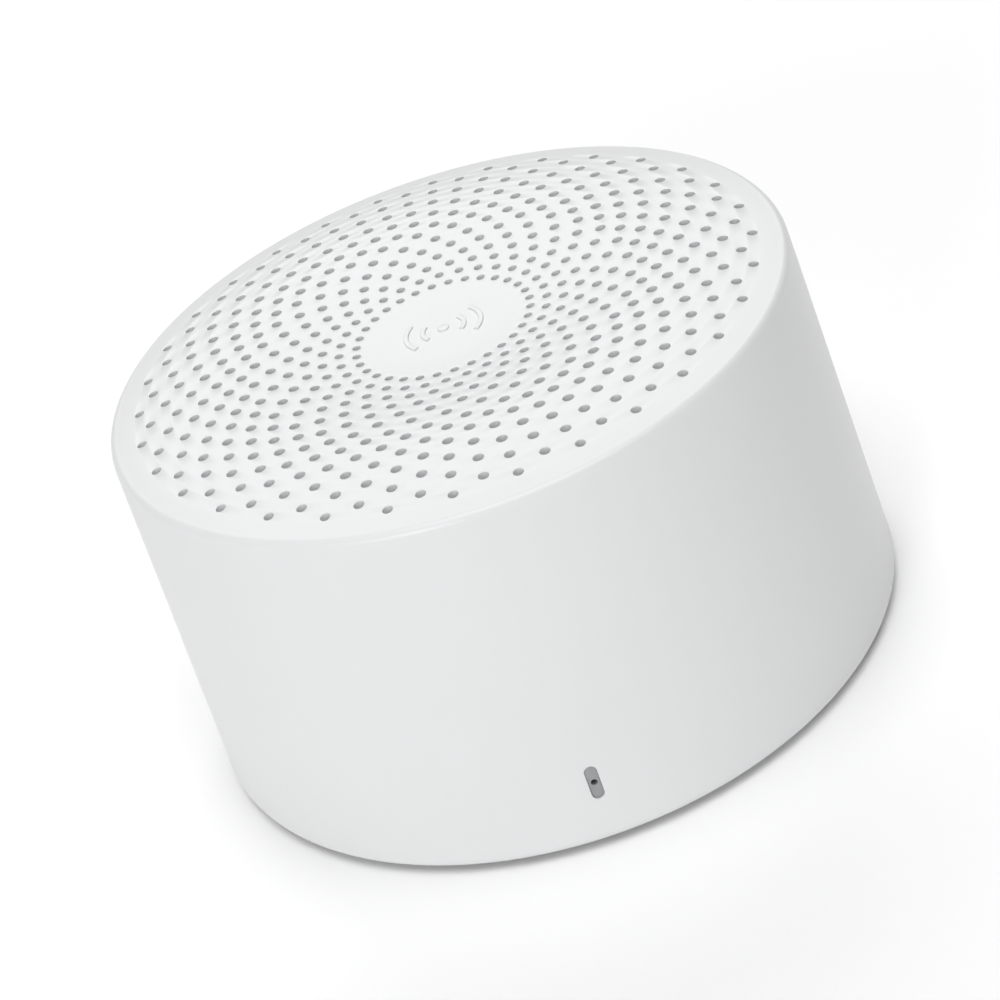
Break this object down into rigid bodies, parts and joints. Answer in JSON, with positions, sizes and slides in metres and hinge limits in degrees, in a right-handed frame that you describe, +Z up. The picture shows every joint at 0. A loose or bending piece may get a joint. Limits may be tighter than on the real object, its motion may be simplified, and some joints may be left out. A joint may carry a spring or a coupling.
{
  "type": "smart speaker",
  "caption": "Palm-size round smart speaker with a perforated dished top, status window, rear charging slot, foot ring and underside push button; upward driver, battery and board inside.",
  "frame": {"origin": "centre of the body on the surface that the foot ring stands on", "axes": "+Z up through the top face, -Y towards the status window, +Y towards the charging socket, +X to the right seen from the window side"},
  "size_m": [0.0586, 0.0586, 0.0324],
  "materials": {
    "black_foam": "closed-cell foam",
    "black_paper": "pressed pulp",
    "black_rubber": "satin",
    "board_green": "solder mask",
    "braid": "woven copper",
    "ceramic_tan": "ceramic with tinned ends",
    "chip_black": "moulded epoxy",
    "copper_wire": "enamelled winding",
    "dark_cloth": "fine woven dust cloth",
    "dark_plastic": "matte moulded",
    "ferrite": "matte ferrite",
    "foot_rubber": "matte, faint mould texture",
    "former_film": "amber film",
    "gold_plate": "gold plated",
    "grey_foam": "open-cell foam",
    "grey_plastic": "glass-filled, matte",
    "led_white": "moulded resin",
    "lens": "translucent grey",
    "magnet_nickel": "nickel plated",
    "natural_nylon": "natural nylon",
    "plated_steel": "plated",
    "pouch_foil": "brushed laminate foil",
    "spider_cloth": "resin-dipped cloth",
    "tan_board": "pressed board",
    "tape_white": "double-sided foam tape",
    "tin_plate": "tin plated",
    "white_plastic": "fine satin moulded ABS",
    "wire_black": "soft insulation",
    "wire_red": "soft insulation",
    "zinc_steel": "zinc plated"
  },
  "bodies": {
    "case": {"housing": "white_plastic", "dust_cloth": "dark_cloth", "light_guide": "lens", "base_plate": "white_plastic", "foot_ring": "foot_rubber", "base_screws": "zinc_steel", "frame_gasket": "black_foam", "baffle": "dark_plastic", "rear_chamber": "dark_plastic", "chamber_foam": "grey_foam", "basket": "grey_plastic", "surround": "black_rubber", "spider": "spider_cloth", "pole_plate": "plated_steel", "magnet": "magnet_nickel", "yoke": "plated_steel", "terminal_strip": "tan_board", "tinsel_leads": "braid", "driver_screws": "zinc_steel", "speaker_leads": "wire_black", "lead_grommet": "black_rubber", "speaker_plug": "natural_nylon", "speaker_header": "natural_nylon", "battery_cell": "pouch_foil", "battery_tape": "tape_white", "battery_guard": "board_green", "battery_lead_plus": "wire_red", "battery_lead_minus": "wire_black", "battery_plug": "natural_nylon", "battery_header": "natural_nylon", "main_board": "board_green", "board_screws": "zinc_steel", "radio_can": "tin_plate", "sound_chip": "chip_black", "charger_chip": "chip_black", "crystal": "tin_plate", "inductors": "ferrite", "capacitors": "ceramic_tan", "antenna": "gold_plate", "status_led": "led_white", "usb_shell": "tin_plate", "usb_tongue": "chip_black", "microphone": "tin_plate", "microphone_boot": "black_rubber", "switch_body": "chip_black"},
    "button": {"power_button": "white_plastic"},
    "plunger": {"switch_plunger": "natural_nylon"},
    "diaphragm": {"cone": "black_paper", "dust_cap": "black_paper", "coil_former": "former_film", "voice_coil": "copper_wire"}
  },
  "joints": [
    {"name": "button_press", "type": "slide", "parent": "case", "child": "button", "axis": [0, 0, 1], "range_m": [0, 0.0003], "stiffness_N_per_m": 600, "springref_m": -0.001},
    {"name": "switch_press", "type": "slide", "parent": "case", "child": "plunger", "axis": [0, 0, 1], "range_m": [0, 0.0003]},
    {"name": "cone_travel", "type": "slide", "parent": "case", "child": "diaphragm", "axis": [0, 0, 1], "range_m": [-0.001, 0.001], "stiffness_N_per_m": 1500, "deforming": ["surround", "spider", "tinsel_leads"]}
  ],
  "couplings": [
    {"joint": "switch_press", "follows": "button_press", "ratio": 1}
  ]
}
